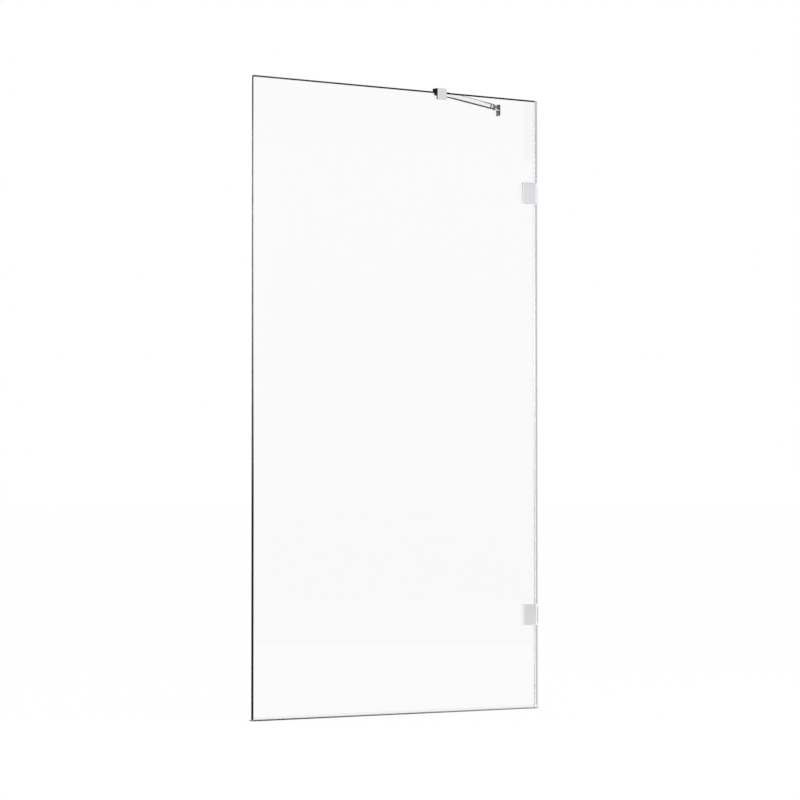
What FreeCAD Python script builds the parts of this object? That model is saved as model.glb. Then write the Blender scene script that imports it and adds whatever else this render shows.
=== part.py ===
import FreeCAD, Part
import math
import os
import re
import Sketcher

# Frameless bath screen: one fixed sheet of clear glass that stands on the rim of a bath,
# held to the wall by two flat clamps and steadied at the top by a short bar that runs
# from a clip on the glass to a swivel foot on the wall.
#
# Millimetres. The origin is the middle of the seal's flat underside, on the glass's middle
# plane. +X runs along the glass to the wall, +Y is the side that the bar is on, +Z is up.

SIZES = {
    # the screen as a whole
    "overall_width": 800,
    "overall_height": 1400,
    "glass_thickness": 8,
    "glass_arris": 1.2,
    "glass_corner_radius": 2,
    "wall_gap": 6,
    # extruded seals
    "seal_base": 2,
    "seal_leg": 6,
    "seal_skin": 1,
    "seal_end_gap": 0.5,
    "bulb_half_width": 3.6,
    "bulb_skin": 0.8,
    "drip_fin_root": 2.4,
    "drip_fin_tip": 0.6,
    "drip_fin_reach": 6,
    "drip_fin_skin": 1,
    # wall clamps
    "clamp_end_distance": 215,
    "clamp_width": 38,
    "clamp_height": 48,
    "clamp_plate_thickness": 5,
    "clamp_wall_clearance": 9,
    "clamp_corner_radius": 2.5,
    "clamp_edge_radius": 1.5,
    "gasket_thickness": 1,
    "gasket_margin": 1.5,
    "clamp_body_height": 40,
    "clamp_leg_thickness": 5,
    "clamp_leg_grip": 29,
    "flange_thickness": 4,
    "flange_reach": 34,
    "flange_root_radius": 3,
    # fixing through the glass
    "screw_inset": 17,
    "glass_hole_diameter": 14,
    "boss_diameter": 9.5,
    "boss_length": 7,
    "bush_clearance": 0.2,
    "clamp_screw_diameter": 6,
    "clamp_screw_head": 11.5,
    "clamp_screw_length": 15,
    "clamp_screw_rim": 0.25,
    "clamp_screw_key": 4,
    "clamp_screw_key_depth": 2.4,
    "thread_clearance": 0.05,
    "screw_hole_clearance": 0.3,
    "countersink_margin": 0.1,
    "blind_hole_spare": 1.5,
    # holes for the wall screws
    "wall_screw_hole": 5.5,
    "wall_screw_head": 10,
    "wall_screw_spacing": 26,
    "wall_screw_offset": 24,
    # clip on the top edge of the glass
    "clip_width": 26,
    "clip_height": 25.5,
    "clip_rise": 8.5,
    "clip_front_thickness": 5,
    "clip_rear_thickness": 4,
    "clip_rear_drop": 8,
    "clip_edge_bevel": 0.8,
    "clip_rear_radius": 2,
    "liner_thickness": 1,
    "liner_margin": 0.5,
    "slide_clearance": 0.15,
    "clip_grub_spacing": 18,
    "clip_grub_drop": 4,
    # set screws
    "grub_diameter": 4,
    "grub_key": 2,
    "grub_key_depth": 1.6,
    "bar_grub_length": 5,
    # swivels at both ends of the bar
    "bar_rise": 2,
    "knuckle_radius": 6,
    "knuckle_height": 12.3,
    "knuckle_clearance": 0.8,
    "tang_thickness": 6,
    "tang_clearance": 0.15,
    "pin_diameter": 5,
    "pin_fit": 0.02,
    "pin_running_clearance": 0.1,
    "end_bevel": 0.4,
    # support bar
    "bar_centres": 301,
    "bar_angle": 24.5,
    "bar_fall_angle": 0.9,
    "bar_diameter": 13,
    "bar_wall": 1.2,
    "bar_end_distance": 31.5,
    "collar_length": 19,
    "shoulder_bevel": 0.8,
    "tang_root": 1,
    "spigot_length": 16,
    "spigot_clearance": 0.2,
    "bar_grub_distance": 8,
    # swivel foot on the wall
    "foot_pivot_offset": 10,
    "foot_thickness": 3,
    "foot_width": 12,
    "foot_height": 25.5,
    "foot_corner_radius": 1,
    "foot_screw_height": 6,
    "foot_screw_hole": 4,
    "foot_screw_head": 7.5,
}

# Places worked out from the sizes.
WALL = "(overall_width / 2)"
FREE_EDGE = "(-overall_width / 2)"
GLASS_EDGE = "(overall_width / 2 - wall_gap)"
GLASS_FACE = "(glass_thickness / 2)"
CLAMP_SEAT = "(glass_thickness / 2 + gasket_thickness)"
CLAMP_RIGHT = "(overall_width / 2 - clamp_wall_clearance)"
CLAMP_LEFT = "(overall_width / 2 - clamp_wall_clearance - clamp_width)"
FLANGE_FACE = "(overall_width / 2 - flange_thickness)"
SCREW_X = "(overall_width / 2 - wall_gap - screw_inset)"
CLAMP_HEIGHTS = {
    "upper": "(overall_height - clamp_end_distance)",
    "lower": "(clamp_end_distance)",
}
GRUB_HOLE_RADIUS = "(grub_diameter / 2 + thread_clearance)"
LINER_FACE = "(glass_thickness / 2 + slide_clearance)"
CLIP_SEAT = "(glass_thickness / 2 + slide_clearance + liner_thickness)"
CLIP_REAR = "(glass_thickness / 2 + slide_clearance + liner_thickness + clip_rear_thickness)"
PIVOT_Y = "(" + CLIP_REAR + " + knuckle_clearance + knuckle_radius)"
CLIP_X = ("(overall_width / 2 - foot_pivot_offset"
          " - bar_centres * cos(bar_fall_angle * 1 deg) * cos(bar_angle * 1 deg))")
FOOT_X = "(overall_width / 2 - foot_pivot_offset)"
FOOT_Y = "(" + PIVOT_Y + " + bar_centres * cos(bar_fall_angle * 1 deg) * sin(bar_angle * 1 deg))"
BAR_HEIGHT = "(overall_height + bar_rise)"
FOOT_HEIGHT = "(" + BAR_HEIGHT + " - bar_centres * sin(bar_fall_angle * 1 deg))"
BAR_BORE = "(bar_diameter / 2 - bar_wall)"

document = FreeCAD.newDocument("bath_screen")
sheet = document.addObject("Spreadsheet::Sheet", "sizes")
for row, (alias, value) in enumerate(SIZES.items(), 1):
    sheet.set("A%d" % row, alias.replace("_", " "))
    sheet.set("B%d" % row, str(value))
    sheet.setAlias("B%d" % row, alias)
document.recompute()

parts = []


def bound(text):
    """Turn the sheet's names in an expression into references to its cells."""
    return re.sub(r"[a-z_]+", lambda word: "sizes." + word[0] if word[0] in SIZES else word[0], text)


def tie(thing, path, text):
    thing.setExpression(path, bound(text))


def number_of(text):
    """The present value of an expression on the sheet."""
    return float(sheet.evalExpression(bound(text)))


def new_body(label, x="0", y="0", z="0"):
    """Start a sub-part with its place in the frame bound to the sheet."""
    body = document.addObject("PartDesign::Body", label)
    body.Label = label
    for letter, place in zip("xyz", (x, y, z)):
        tie(body, "Placement.Base." + letter, place)
    parts.append(body)
    return body


def turn_by(piece, axis, angle):
    """Bind a piece's turn to the sheet: three expressions for the axis and one in degrees."""
    numbers = [number_of(text) for text in axis]
    piece.Placement.Rotation = FreeCAD.Rotation(FreeCAD.Vector(*numbers), number_of(angle))
    for letter, text in zip("xyz", axis):
        tie(piece, "Placement.Rotation.Axis." + letter, text)
    tie(piece, "Placement.Rotation.Angle", angle)


def leaning(turn, fall, about):
    """Axis and angle of a small turn about the piece's own x or y, followed by one about +Z."""
    half_turn = "((" + turn + ") / 2 * 1 deg)"
    half_fall = "((" + fall + ") / 2 * 1 deg)"
    ahead = "cos(%s) * sin(%s)" % (half_turn, half_fall)
    aside = "sin(%s) * sin(%s)" % (half_turn, half_fall)
    up = "sin(%s) * cos(%s)" % (half_turn, half_fall)
    axis = (ahead, aside, up) if about == "x" else ("-" + aside, ahead, up)
    return axis, "2 * acos(cos(%s) * cos(%s))" % (half_turn, half_fall)


def new_sketch(body, role, offset="0"):
    """A sketch on one of the body's own planes, moved along that plane's normal.

    XY has X across and Y up, and its normal is +Z. YZ has Y across and Z up, and its normal
    is +X. XZ has X across and Z up, and its normal is -Y.
    """
    sketch = body.newObject("Sketcher::SketchObject", body.Name + "_sketch")
    plane = [item for item in body.Origin.OriginFeatures if item.Role == role][0]
    sketch.AttachmentSupport = [(plane, "")]
    sketch.MapMode = "FlatFace"
    tie(sketch, "AttachmentOffset.Base.z", offset)
    return sketch


def limit(sketch, kind, where, text):
    """Add one dimension to a sketch and bind it to the sheet."""
    number = sketch.addConstraint(Sketcher.Constraint(kind, *where, number_of(text)))
    tie(sketch, "Constraints[%d]" % number, text)


def add_outline(sketch, corners):
    """A closed run of straight lines through corners given as pairs of expressions."""
    first = sketch.GeometryCount
    points = [FreeCAD.Vector(number_of(across), number_of(up), 0) for across, up in corners]
    for number, point in enumerate(points):
        following = points[(number + 1) % len(points)]
        sketch.addGeometry(Part.LineSegment(point, following))
    for number, (across, up) in enumerate(corners):
        line = first + number
        following = first + (number + 1) % len(corners)
        sketch.addConstraint(Sketcher.Constraint("Coincident", line, 2, following, 1))
        limit(sketch, "DistanceX", (-1, 1, line, 1), across)
        limit(sketch, "DistanceY", (-1, 1, line, 1), up)


def add_box_outline(sketch, left, right, bottom, top):
    add_outline(sketch, [(left, bottom), (right, bottom), (right, top), (left, top)])


def add_circle(sketch, across, up, radius):
    centre = FreeCAD.Vector(number_of(across), number_of(up), 0)
    circle = Part.Circle(centre, FreeCAD.Vector(0, 0, 1), number_of(radius))
    number = sketch.addGeometry(circle)
    limit(sketch, "DistanceX", (-1, 1, number, 3), across)
    limit(sketch, "DistanceY", (-1, 1, number, 3), up)
    limit(sketch, "Radius", (number,), radius)


def add_hexagon(sketch, across_flats):
    """The outline of a hexagon socket, centred on the sketch's origin."""
    corners = []
    for number in range(6):
        turn = 60 * number
        reach = "(" + across_flats + ") / 2 / cos(30 deg)"
        corners.append((reach + " * cos(%d deg)" % turn, reach + " * sin(%d deg)" % turn))
    add_outline(sketch, corners)


def add_tongue(sketch, base, tip, radius):
    """A strip from base up to tip, closed by a half round centred on tip."""
    low, high, size = [number_of(text) for text in (base, tip, radius)]
    corner = FreeCAD.Vector
    sketch.addGeometry(Part.LineSegment(corner(-size, low, 0), corner(size, low, 0)))
    sketch.addGeometry(Part.LineSegment(corner(size, low, 0), corner(size, high, 0)))
    circle = Part.Circle(corner(0, high, 0), corner(0, 0, 1), size)
    sketch.addGeometry(Part.ArcOfCircle(circle, 0, math.pi))
    sketch.addGeometry(Part.LineSegment(corner(-size, high, 0), corner(-size, low, 0)))
    sketch.addConstraint(Sketcher.Constraint("Coincident", 0, 2, 1, 1))
    sketch.addConstraint(Sketcher.Constraint("Tangent", 1, 2, 2, 1))
    sketch.addConstraint(Sketcher.Constraint("Tangent", 2, 2, 3, 1))
    sketch.addConstraint(Sketcher.Constraint("Coincident", 3, 2, 0, 1))
    sketch.addConstraint(Sketcher.Constraint("Horizontal", 0))
    sketch.addConstraint(Sketcher.Constraint("Vertical", 1))
    limit(sketch, "DistanceX", (-1, 1, 2, 3), "0")
    limit(sketch, "DistanceY", (-1, 1, 2, 3), tip)
    limit(sketch, "DistanceY", (-1, 1, 0, 1), base)
    limit(sketch, "Radius", (2,), radius)


def solid_feature(body, kind, sketch, length=None, symmetric=False, reverse=False):
    """A pad or a pocket that follows a sketch; no length means right through."""
    feature = body.newObject("PartDesign::" + kind, body.Name + "_" + kind.lower())
    feature.Profile = sketch
    if symmetric:
        feature.SideType = "Symmetric"
    feature.Reversed = reverse
    if length is None:
        feature.Type = "ThroughAll"
    else:
        tie(feature, "Length", length)
    document.recompute()
    return feature


def pad(body, sketch, length, symmetric=False, reverse=False):
    return solid_feature(body, "Pad", sketch, length, symmetric, reverse)


def pocket(body, sketch, length=None, symmetric=False, reverse=False):
    """Cut along a sketch, and stop if the cut misses the piece."""
    before = body.Shape.Volume
    feature = solid_feature(body, "Pocket", sketch, length, symmetric, reverse)
    if body.Shape.Volume > before - 0.01:
        raise RuntimeError(body.Label + ": a pocket cuts nothing")
    return feature


def revolve(body, sketch, axis):
    feature = body.newObject("PartDesign::Revolution", body.Name + "_turning")
    feature.Profile = sketch
    feature.ReferenceAxis = (sketch, [axis])
    feature.Angle = 360
    document.recompute()
    return feature


def countersunk_hole(body, sketch, hole, head):
    """A through hole for a countersunk screw, cut along the sketch's normal."""
    before = body.Shape.Volume
    feature = body.newObject("PartDesign::Hole", body.Name + "_hole")
    feature.Profile = sketch
    document.recompute()
    feature.ThreadType = "None"
    feature.HoleCutType = "Countersink"
    feature.DepthType = "ThroughAll"
    feature.HoleCutCustomValues = True
    feature.Reversed = True
    tie(feature, "Diameter", hole)
    tie(feature, "HoleCutDiameter", head)
    feature.HoleCutCountersinkAngle = 90
    document.recompute()
    if body.Shape.Volume > before - 0.01:
        raise RuntimeError(body.Label + ": a hole cuts nothing")
    return feature


def edge_names(shape, wanted):
    """Names of the edges for which the test holds."""
    return ["Edge%d" % number for number, edge in enumerate(shape.Edges, 1) if wanted(edge)]


def runs_along(edge, axis):
    """True for a straight edge parallel to the axis numbered 0, 1 or 2."""
    if not isinstance(edge.Curve, (Part.Line, Part.LineSegment)):
        return False
    start, end = [vertex.Point for vertex in edge.Vertexes]
    step = end - start
    return abs(abs(step[axis]) - step.Length) < 1e-6


def lies_at(edge, axis, place):
    """True for an edge that lies in one plane square to an axis."""
    box = edge.BoundBox
    low = (box.XMin, box.YMin, box.ZMin)[axis]
    high = (box.XMax, box.YMax, box.ZMax)[axis]
    return abs(low - place) < 1e-4 and abs(high - place) < 1e-4


def soften(body, base, kind, size, wanted):
    """Fillet or chamfer the wanted edges of a feature."""
    names = edge_names(base.Shape, wanted)
    if not names:
        raise RuntimeError(body.Label + ": no edge to soften")
    feature = body.newObject("PartDesign::" + kind, body.Name + "_" + kind.lower())
    feature.Base = (base, names)
    tie(feature, "Radius" if kind == "Fillet" else "Size", size)
    document.recompute()
    return feature


def make_glass():
    """Toughened glass with arrised edges and one drilled hole for each wall clamp."""
    body = new_body("glass_panel")
    sketch = new_sketch(body, "XZ_Plane")
    add_box_outline(sketch, FREE_EDGE, GLASS_EDGE, "seal_base", "overall_height")
    for height in CLAMP_HEIGHTS.values():
        add_circle(sketch, SCREW_X, height, "glass_hole_diameter / 2")
    sheet_of_glass = pad(body, sketch, "glass_thickness", symmetric=True)
    free_edge = number_of(FREE_EDGE)
    rounded = soften(body, sheet_of_glass, "Fillet", "glass_corner_radius",
                     lambda edge: runs_along(edge, 1) and abs(edge.Vertexes[0].X - free_edge) < 1e-6)
    face = number_of(GLASS_FACE)
    soften(body, rounded, "Chamfer", "glass_arris",
           lambda edge: lies_at(edge, 1, face) or lies_at(edge, 1, -face))


def make_bottom_seal():
    """Clear channel pushed onto the bottom edge, with a drip fin on the bath side."""
    body = new_body("bottom_seal")
    sketch = new_sketch(body, "YZ_Plane", FREE_EDGE)
    inner = GLASS_FACE
    outer = "(glass_thickness / 2 + seal_skin)"
    top = "(seal_base + seal_leg)"
    fin_end = "(glass_thickness / 2 + seal_skin + drip_fin_reach)"
    add_outline(sketch, [
        ("-" + outer, "0"),
        (outer, "0"),
        (outer, "drip_fin_root"),
        (fin_end, "drip_fin_tip"),
        (fin_end, "drip_fin_tip + drip_fin_skin"),
        (outer, "drip_fin_root + drip_fin_skin"),
        (outer, top),
        (inner, top),
        (inner, "seal_base"),
        ("-" + inner, "seal_base"),
        ("-" + inner, top),
        ("-" + outer, top),
    ])
    pad(body, sketch, "overall_width")


def make_wall_seal(label, bottom, top):
    """Clear channel on the edge beside the wall, with a hollow bulb that closes the gap."""
    body = new_body(label, z=bottom)
    sketch = new_sketch(body, "XY_Plane")
    legs_start = "(" + GLASS_EDGE + " - seal_leg)"
    web = "(" + GLASS_EDGE + " + seal_skin)"
    inner = GLASS_FACE
    outer = "(glass_thickness / 2 + seal_skin)"
    add_outline(sketch, [
        (legs_start, inner),
        (GLASS_EDGE, inner),
        (GLASS_EDGE, "-" + inner),
        (legs_start, "-" + inner),
        (legs_start, "-" + outer),
        (web, "-" + outer),
        (web, "-bulb_half_width"),
        (WALL, "-bulb_half_width"),
        (WALL, "bulb_half_width"),
        (web, "bulb_half_width"),
        (web, outer),
        (legs_start, outer),
    ])
    hollow = "(bulb_half_width - bulb_skin)"
    add_box_outline(sketch, web, "(" + WALL + " - bulb_skin)", "-" + hollow, hollow)
    pad(body, sketch, top + " - " + bottom)


def make_wall_seals():
    half = "clamp_height / 2 + seal_end_gap"
    upper = CLAMP_HEIGHTS["upper"]
    lower = CLAMP_HEIGHTS["lower"]
    make_wall_seal("wall_seal_top", "(" + upper + " + " + half + ")", "overall_height")
    make_wall_seal("wall_seal_middle", "(" + lower + " + " + half + ")", "(" + upper + " - " + half + ")")
    make_wall_seal("wall_seal_bottom", "(seal_base + seal_leg + seal_end_gap)",
                   "(" + lower + " - " + half + ")")


def make_front_plate(side, height):
    """Smooth plate on the dry side, with a threaded boss that passes into the glass."""
    body = new_body(side + "_clamp_plate", z=height)
    sketch = new_sketch(body, "XZ_Plane", CLAMP_SEAT)
    add_box_outline(sketch, CLAMP_LEFT, CLAMP_RIGHT, "-clamp_height / 2", "clamp_height / 2")
    plate = pad(body, sketch, "clamp_plate_thickness")
    rounded = soften(body, plate, "Fillet", "clamp_corner_radius", lambda edge: runs_along(edge, 1))
    front = -number_of(CLAMP_SEAT + " + clamp_plate_thickness")
    soften(body, rounded, "Fillet", "clamp_edge_radius", lambda edge: lies_at(edge, 1, front))
    boss = new_sketch(body, "XZ_Plane", CLAMP_SEAT)
    add_circle(boss, SCREW_X, "0", "boss_diameter / 2")
    pad(body, boss, "boss_length", reverse=True)
    thread = new_sketch(body, "XZ_Plane", CLAMP_SEAT + " - boss_length")
    add_circle(thread, SCREW_X, "0", "clamp_screw_diameter / 2 + thread_clearance")
    depth = "(clamp_screw_length - clamp_leg_thickness - " + CLAMP_SEAT + " - " + CLAMP_SEAT
    pocket(body, thread, depth + " + boss_length + blind_hole_spare)", reverse=True)


def make_clamp_body(side, height):
    """Cast angle behind the glass: a leg along the glass and a flange on the wall."""
    body = new_body(side + "_clamp_body", z=height)
    sketch = new_sketch(body, "XY_Plane")
    leg_end = "(" + GLASS_EDGE + " - clamp_leg_grip)"
    leg_back = "(" + CLAMP_SEAT + " + clamp_leg_thickness)"
    flange_end = "(" + GLASS_FACE + " + flange_reach)"
    add_outline(sketch, [
        (leg_end, CLAMP_SEAT),
        (FLANGE_FACE, CLAMP_SEAT),
        (FLANGE_FACE, "-" + CLAMP_SEAT),
        (WALL, "-" + CLAMP_SEAT),
        (WALL, flange_end),
        (FLANGE_FACE, flange_end),
        (FLANGE_FACE, leg_back),
        (leg_end, leg_back),
    ])
    angle = pad(body, sketch, "clamp_body_height", symmetric=True)
    flange_face = number_of(FLANGE_FACE)
    back = number_of(leg_back)
    rooted = soften(body, angle, "Fillet", "flange_root_radius",
                    lambda edge: runs_along(edge, 2) and lies_at(edge, 0, flange_face)
                    and lies_at(edge, 1, back))
    end = number_of(leg_end)
    outer_end = number_of(flange_end)
    soften(body, rooted, "Fillet", "clamp_corner_radius",
           lambda edge: (runs_along(edge, 0) and lies_at(edge, 1, outer_end))
           or (runs_along(edge, 1) and lies_at(edge, 0, end)))
    screw = new_sketch(body, "XZ_Plane", "-" + leg_back)
    add_circle(screw, SCREW_X, "0", "clamp_screw_diameter / 2")
    countersunk_hole(body, screw, "clamp_screw_diameter + 2 * screw_hole_clearance",
                     "clamp_screw_head + 2 * (clamp_screw_rim + countersink_margin)")
    wall = new_sketch(body, "YZ_Plane", FLANGE_FACE)
    for sign in ("-", ""):
        add_circle(wall, "wall_screw_offset", sign + "wall_screw_spacing / 2", "wall_screw_hole / 2")
    countersunk_hole(body, wall, "wall_screw_hole", "wall_screw_head")


def make_gasket(label, height, left, half_height, hole, toward_bath):
    """Flat clear pad between the glass and a clamp jaw, with a hole for the fixing."""
    body = new_body(label, z=height)
    sketch = new_sketch(body, "XZ_Plane", ("-" if toward_bath else "") + GLASS_FACE)
    right = "(" + (GLASS_EDGE if toward_bath else CLAMP_RIGHT) + " - gasket_margin)"
    add_box_outline(sketch, left, right, "-" + half_height, half_height)
    add_circle(sketch, SCREW_X, "0", hole)
    pad(body, sketch, "gasket_thickness", reverse=toward_bath)


def make_bush(side, height):
    """Nylon sleeve that keeps the boss off the drilled glass."""
    body = new_body(side + "_clamp_bush", z=height)
    sketch = new_sketch(body, "XZ_Plane")
    add_circle(sketch, SCREW_X, "0", "glass_hole_diameter / 2 - bush_clearance")
    add_circle(sketch, SCREW_X, "0", "boss_diameter / 2 + bush_clearance")
    pad(body, sketch, "glass_thickness - 2 * bush_clearance", symmetric=True)


def make_clamp_screw(side, height):
    """Countersunk machine screw with a hexagon socket, turned about its own Z axis."""
    head_top = "(" + CLAMP_SEAT + " + clamp_leg_thickness)"
    body = new_body(side + "_clamp_screw", SCREW_X, head_top, height)
    turn_by(body, ("1", "0", "0"), "-90")
    sketch = new_sketch(body, "XZ_Plane")
    shank = "clamp_screw_diameter / 2"
    head = "clamp_screw_head / 2"
    add_outline(sketch, [
        ("0", "-clamp_screw_length"),
        (shank + " - end_bevel", "-clamp_screw_length"),
        (shank, "-clamp_screw_length + end_bevel"),
        (shank, "-clamp_screw_rim - " + head + " + " + shank),
        (head, "-clamp_screw_rim"),
        (head, "0"),
        ("0", "0"),
    ])
    revolve(body, sketch, "V_Axis")
    socket = new_sketch(body, "XY_Plane")
    add_hexagon(socket, "clamp_screw_key")
    pocket(body, socket, "clamp_screw_key_depth")


def make_wall_clamps():
    for side, height in CLAMP_HEIGHTS.items():
        make_front_plate(side, height)
        make_clamp_body(side, height)
        make_gasket(side + "_clamp_gasket_front", height, "(" + CLAMP_LEFT + " + gasket_margin)",
                    "(clamp_height / 2 - gasket_margin)", "boss_diameter / 2 + bush_clearance", False)
        make_gasket(side + "_clamp_gasket_rear", height,
                    "(" + GLASS_EDGE + " - clamp_leg_grip + gasket_margin)",
                    "(clamp_body_height / 2 - gasket_margin)",
                    "boss_diameter / 2 + bush_clearance", True)
        make_bush(side, height)
        make_clamp_screw(side, height)


def add_fork(body, base, tip, height):
    """Two ears with a slot between them and a hole for the pin, cut from one block."""
    block = new_sketch(body, "XY_Plane", height)
    add_tongue(block, base, tip, "knuckle_radius")
    pad(body, block, "knuckle_height", symmetric=True)
    slot = new_sketch(body, "XY_Plane", height)
    add_box_outline(slot, "-2 * knuckle_radius", "2 * knuckle_radius",
                    tip + " - knuckle_radius - knuckle_clearance", tip + " + 2 * knuckle_radius")
    pocket(body, slot, "tang_thickness + 2 * tang_clearance", symmetric=True)
    hole = new_sketch(body, "XY_Plane", height)
    add_circle(hole, "0", tip, "pin_diameter / 2 + pin_fit")
    pocket(body, hole, "2 * knuckle_height", symmetric=True)


def make_pin(label, x, y, z):
    """Plain steel pin, as long as the fork is high, with bevelled ends."""
    body = new_body(label, x, y, z)
    sketch = new_sketch(body, "XY_Plane")
    add_circle(sketch, "0", "0", "pin_diameter / 2")
    rod = pad(body, sketch, "knuckle_height", symmetric=True)
    soften(body, rod, "Chamfer", "end_bevel", lambda edge: isinstance(edge.Curve, Part.Circle))


def make_clip_body():
    """Solid clip over the top edge: smooth front cheek, bridge, short rear cheek and fork."""
    body = new_body("top_clip_body", CLIP_X, "0", "overall_height")
    sketch = new_sketch(body, "YZ_Plane")
    front = "(" + CLIP_SEAT + " + clip_front_thickness)"
    roof = "(slide_clearance + liner_thickness)"
    add_outline(sketch, [
        ("-" + front, "clip_rise - clip_height"),
        ("-" + CLIP_SEAT, "clip_rise - clip_height"),
        ("-" + CLIP_SEAT, roof),
        (CLIP_SEAT, roof),
        (CLIP_SEAT, "-clip_rear_drop"),
        (CLIP_REAR, "-clip_rear_drop"),
        (CLIP_REAR, "clip_rise"),
        ("-" + front, "clip_rise"),
    ])
    block = pad(body, sketch, "clip_width", symmetric=True)
    face = -number_of(front)
    rear = number_of(CLIP_REAR)
    bottom = -number_of("clip_rear_drop")
    rounded = soften(body, block, "Fillet", "clip_rear_radius",
                     lambda edge: runs_along(edge, 1) and lies_at(edge, 2, bottom))
    top = number_of("clip_rise")
    soften(body, rounded, "Chamfer", "clip_edge_bevel",
           lambda edge: lies_at(edge, 1, face) or (lies_at(edge, 2, top) and not lies_at(edge, 1, rear)))
    add_fork(body, CLIP_REAR + " - clip_rear_thickness / 2", PIVOT_Y, "bar_rise")
    grubs = new_sketch(body, "XZ_Plane", "-" + CLIP_REAR)
    for sign in ("-", ""):
        add_circle(grubs, sign + "clip_grub_spacing / 2", "-clip_grub_drop", GRUB_HOLE_RADIUS)
    pocket(body, grubs, "clip_rear_thickness", reverse=True)


def make_clip_liner():
    """Clear liner between the clip and the glass."""
    body = new_body("top_clip_liner", CLIP_X, "0", "overall_height")
    sketch = new_sketch(body, "YZ_Plane")
    front_bottom = "clip_rise - clip_height + liner_margin"
    rear_bottom = "-clip_rear_drop + liner_margin"
    add_outline(sketch, [
        ("-" + CLIP_SEAT, front_bottom),
        ("-" + LINER_FACE, front_bottom),
        ("-" + LINER_FACE, "slide_clearance"),
        (LINER_FACE, "slide_clearance"),
        (LINER_FACE, rear_bottom),
        (CLIP_SEAT, rear_bottom),
        (CLIP_SEAT, "slide_clearance + liner_thickness"),
        ("-" + CLIP_SEAT, "slide_clearance + liner_thickness"),
    ])
    pad(body, sketch, "clip_width - 2 * liner_margin", symmetric=True)


def make_grubs(label, places, length, axis, angle):
    """A pair of hexagon-socket set screws as one group of separate solids."""
    screws = []
    for number, (x, y, z) in enumerate(places, 1):
        rod = document.addObject("Part::Cylinder", "%s_rod_%d" % (label, number))
        tie(rod, "Radius", "grub_diameter / 2")
        tie(rod, "Height", length)
        socket = document.addObject("Part::Prism", "%s_socket_%d" % (label, number))
        socket.Polygon = 6
        tie(socket, "Circumradius", "grub_key / 2 / cos(30 deg)")
        tie(socket, "Height", "2 * grub_key_depth")
        tie(socket, "Placement.Base.z", length + " - grub_key_depth")
        screw = document.addObject("Part::Cut", "%s_%d" % (label, number))
        screw.Base = rod
        screw.Tool = socket
        turn_by(screw, axis, angle)
        for letter, place in zip("xyz", (x, y, z)):
            tie(screw, "Placement.Base." + letter, place)
        screws.append(screw)
    group = document.addObject("Part::Compound", label)
    group.Label = label
    group.Links = screws
    parts.append(group)
    document.recompute()


def make_top_clip():
    make_clip_body()
    make_clip_liner()
    make_pin("top_clip_pin", CLIP_X, PIVOT_Y, BAR_HEIGHT)
    places = []
    for sign in (" - ", " + "):
        places.append((CLIP_X + sign + "clip_grub_spacing / 2", CLIP_SEAT,
                       "overall_height - clip_grub_drop"))
    make_grubs("top_clip_grub_screws", places, "clip_rear_thickness", ("1", "0", "0"), "-90")


def make_bar_tube():
    """Thin round tube, cut to length, with a threaded hole under each end."""
    body = new_body("bar_tube", CLIP_X, PIVOT_Y, BAR_HEIGHT)
    turn_by(body, *leaning("bar_angle", "bar_fall_angle", "y"))
    sketch = new_sketch(body, "YZ_Plane", "bar_end_distance")
    add_circle(sketch, "0", "0", "bar_diameter / 2")
    add_circle(sketch, "0", "0", BAR_BORE)
    tube = pad(body, sketch, "bar_centres - 2 * bar_end_distance")
    outside = number_of("bar_diameter / 2")
    soften(body, tube, "Chamfer", "end_bevel",
           lambda edge: isinstance(edge.Curve, Part.Circle) and abs(edge.Curve.Radius - outside) < 1e-6)
    holes = new_sketch(body, "XY_Plane")
    grub = "(bar_end_distance + bar_grub_distance)"
    add_circle(holes, grub, "0", GRUB_HOLE_RADIUS)
    add_circle(holes, "bar_centres - " + grub, "0", GRUB_HOLE_RADIUS)
    pocket(body, holes, "bar_diameter / 2")


def make_bar_fitting(label, x, y, z, turn, fall):
    """Turned plug with a flat milled tang; its bar side points along its own -Y."""
    body = new_body(label, x, y, z)
    turn_by(body, *leaning(turn, fall, "x"))
    sketch = new_sketch(body, "XY_Plane")
    collar = "-bar_end_distance"
    shoulder = "-bar_end_distance + collar_length"
    radius = "bar_diameter / 2"
    spigot = BAR_BORE + " - spigot_clearance"
    add_outline(sketch, [
        ("0", collar + " - spigot_length"),
        (spigot + " - end_bevel", collar + " - spigot_length"),
        (spigot, collar + " - spigot_length + end_bevel"),
        (spigot, collar),
        (radius + " - end_bevel", collar),
        (radius, collar + " + end_bevel"),
        (radius, shoulder + " - shoulder_bevel"),
        (radius + " - shoulder_bevel", shoulder),
        ("0", shoulder),
    ])
    revolve(body, sketch, "V_Axis")
    tang = new_sketch(body, "XY_Plane")
    add_tongue(tang, shoulder + " - tang_root", "0", "knuckle_radius")
    pad(body, tang, "tang_thickness", symmetric=True)
    eye = new_sketch(body, "XY_Plane")
    add_circle(eye, "0", "0", "pin_diameter / 2 + pin_running_clearance")
    pocket(body, eye, "2 * tang_thickness", symmetric=True)
    grub = new_sketch(body, "XY_Plane")
    add_circle(grub, "0", collar + " - bar_grub_distance", GRUB_HOLE_RADIUS)
    pocket(body, grub, "bar_diameter / 2")


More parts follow.
